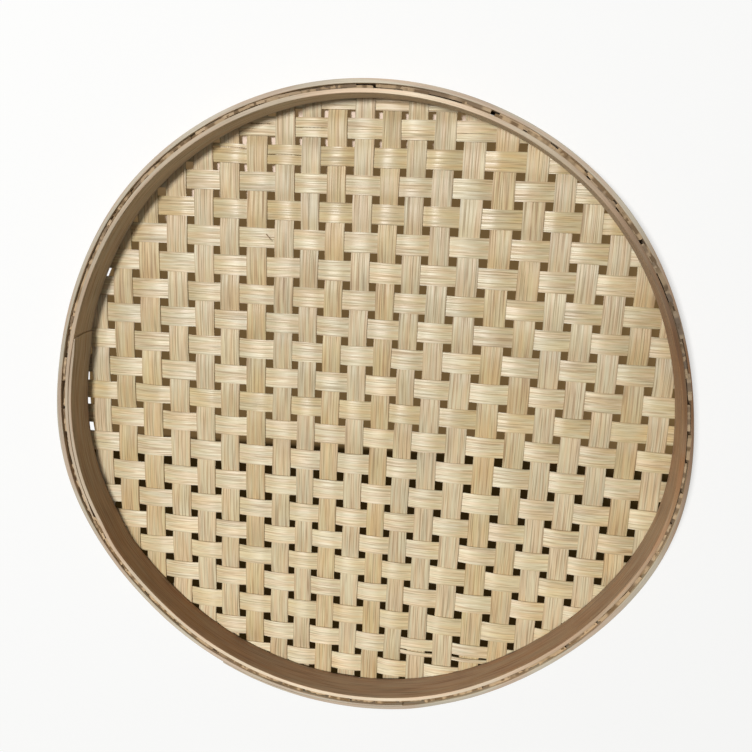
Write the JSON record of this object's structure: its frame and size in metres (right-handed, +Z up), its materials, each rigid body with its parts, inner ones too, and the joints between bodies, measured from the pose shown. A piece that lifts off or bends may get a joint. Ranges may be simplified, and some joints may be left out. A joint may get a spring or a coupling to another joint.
{
  "type": "woven bamboo tray",
  "caption": "Round flat bamboo tray with an open plain-woven floor held between two lapped bamboo hoops.",
  "frame": {"origin": "middle of the tray's outline, on the surface that the outer hoop's lower edge stands on", "axes": "+Z up out of the open tray, +X along the weft splints, +Y along the warp splints"},
  "size_m": [0.334, 0.3348, 0.0215],
  "materials": {
    "hoop_bamboo": "split bamboo band, planed, unvarnished, matt with a faint sheen along the fibres",
    "warp_bamboo": "split bamboo splint, unvarnished, fine lengthwise fibres",
    "weft_bamboo": "split bamboo splint, unvarnished, fine lengthwise fibres, a little brighter where it crowns"
  },
  "bodies": {
    "root": {"inner_hoop": "hoop_bamboo", "outer_hoop": "hoop_bamboo", "warp_splint_01": "warp_bamboo", "warp_splint_02": "warp_bamboo", "warp_splint_03": "warp_bamboo", "warp_splint_04": "warp_bamboo", "warp_splint_05": "warp_bamboo", "warp_splint_06": "warp_bamboo", "warp_splint_07": "warp_bamboo", "warp_splint_08": "warp_bamboo", "warp_splint_09": "warp_bamboo", "warp_splint_10": "warp_bamboo", "warp_splint_11": "warp_bamboo", "warp_splint_12": "warp_bamboo", "warp_splint_13": "warp_bamboo", "warp_splint_14": "warp_bamboo", "warp_splint_15": "warp_bamboo", "warp_splint_16": "warp_bamboo", "warp_splint_17": "warp_bamboo", "warp_splint_18": "warp_bamboo", "warp_splint_19": "warp_bamboo", "warp_splint_20": "warp_bamboo", "warp_splint_21": "warp_bamboo", "warp_splint_22": "warp_bamboo", "weft_splint_01": "weft_bamboo", "weft_splint_02": "weft_bamboo", "weft_splint_03": "weft_bamboo", "weft_splint_04": "weft_bamboo", "weft_splint_05": "weft_bamboo", "weft_splint_06": "weft_bamboo", "weft_splint_07": "weft_bamboo", "weft_splint_08": "weft_bamboo", "weft_splint_09": "weft_bamboo", "weft_splint_10": "weft_bamboo", "weft_splint_11": "weft_bamboo", "weft_splint_12": "weft_bamboo", "weft_splint_13": "weft_bamboo", "weft_splint_14": "weft_bamboo", "weft_splint_15": "weft_bamboo", "weft_splint_16": "weft_bamboo", "weft_splint_17": "weft_bamboo", "weft_splint_18": "weft_bamboo", "weft_splint_19": "weft_bamboo", "weft_splint_20": "weft_bamboo", "weft_splint_21": "weft_bamboo", "weft_splint_22": "weft_bamboo"}
  },
  "joints": []
}
